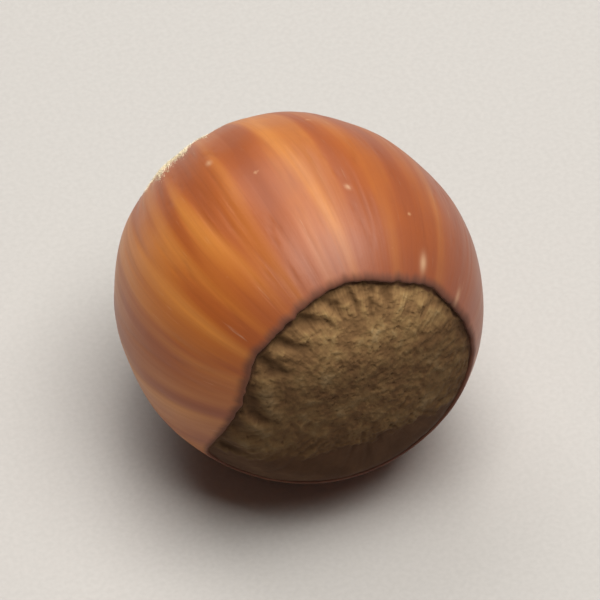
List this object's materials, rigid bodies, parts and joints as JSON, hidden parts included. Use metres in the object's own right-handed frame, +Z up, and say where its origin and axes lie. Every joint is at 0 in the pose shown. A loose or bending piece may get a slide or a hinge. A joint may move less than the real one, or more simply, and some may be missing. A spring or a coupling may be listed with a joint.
{
  "type": "hazelnut",
  "caption": "Whole round hazelnut in its closed shell, lying on its side, with low lengthwise ridges, a rough basal scar and a short blunt tip.",
  "frame": {"origin": "middle of the bounding box seen from above, at the height of the small flat spot that the nut rests on", "axes": "+Y toward the pointed tip, along the nut's length; the basal scar faces -Y, turned 8 degrees upward; +Z up as the nut lies; +X across its width"},
  "size_m": [0.0196, 0.0216, 0.0188],
  "materials": {
    "shell": "satin, orange-brown with lighter and darker lengthwise streaks"
  },
  "bodies": {
    "root": {"hazelnut": "shell"}
  },
  "joints": []
}
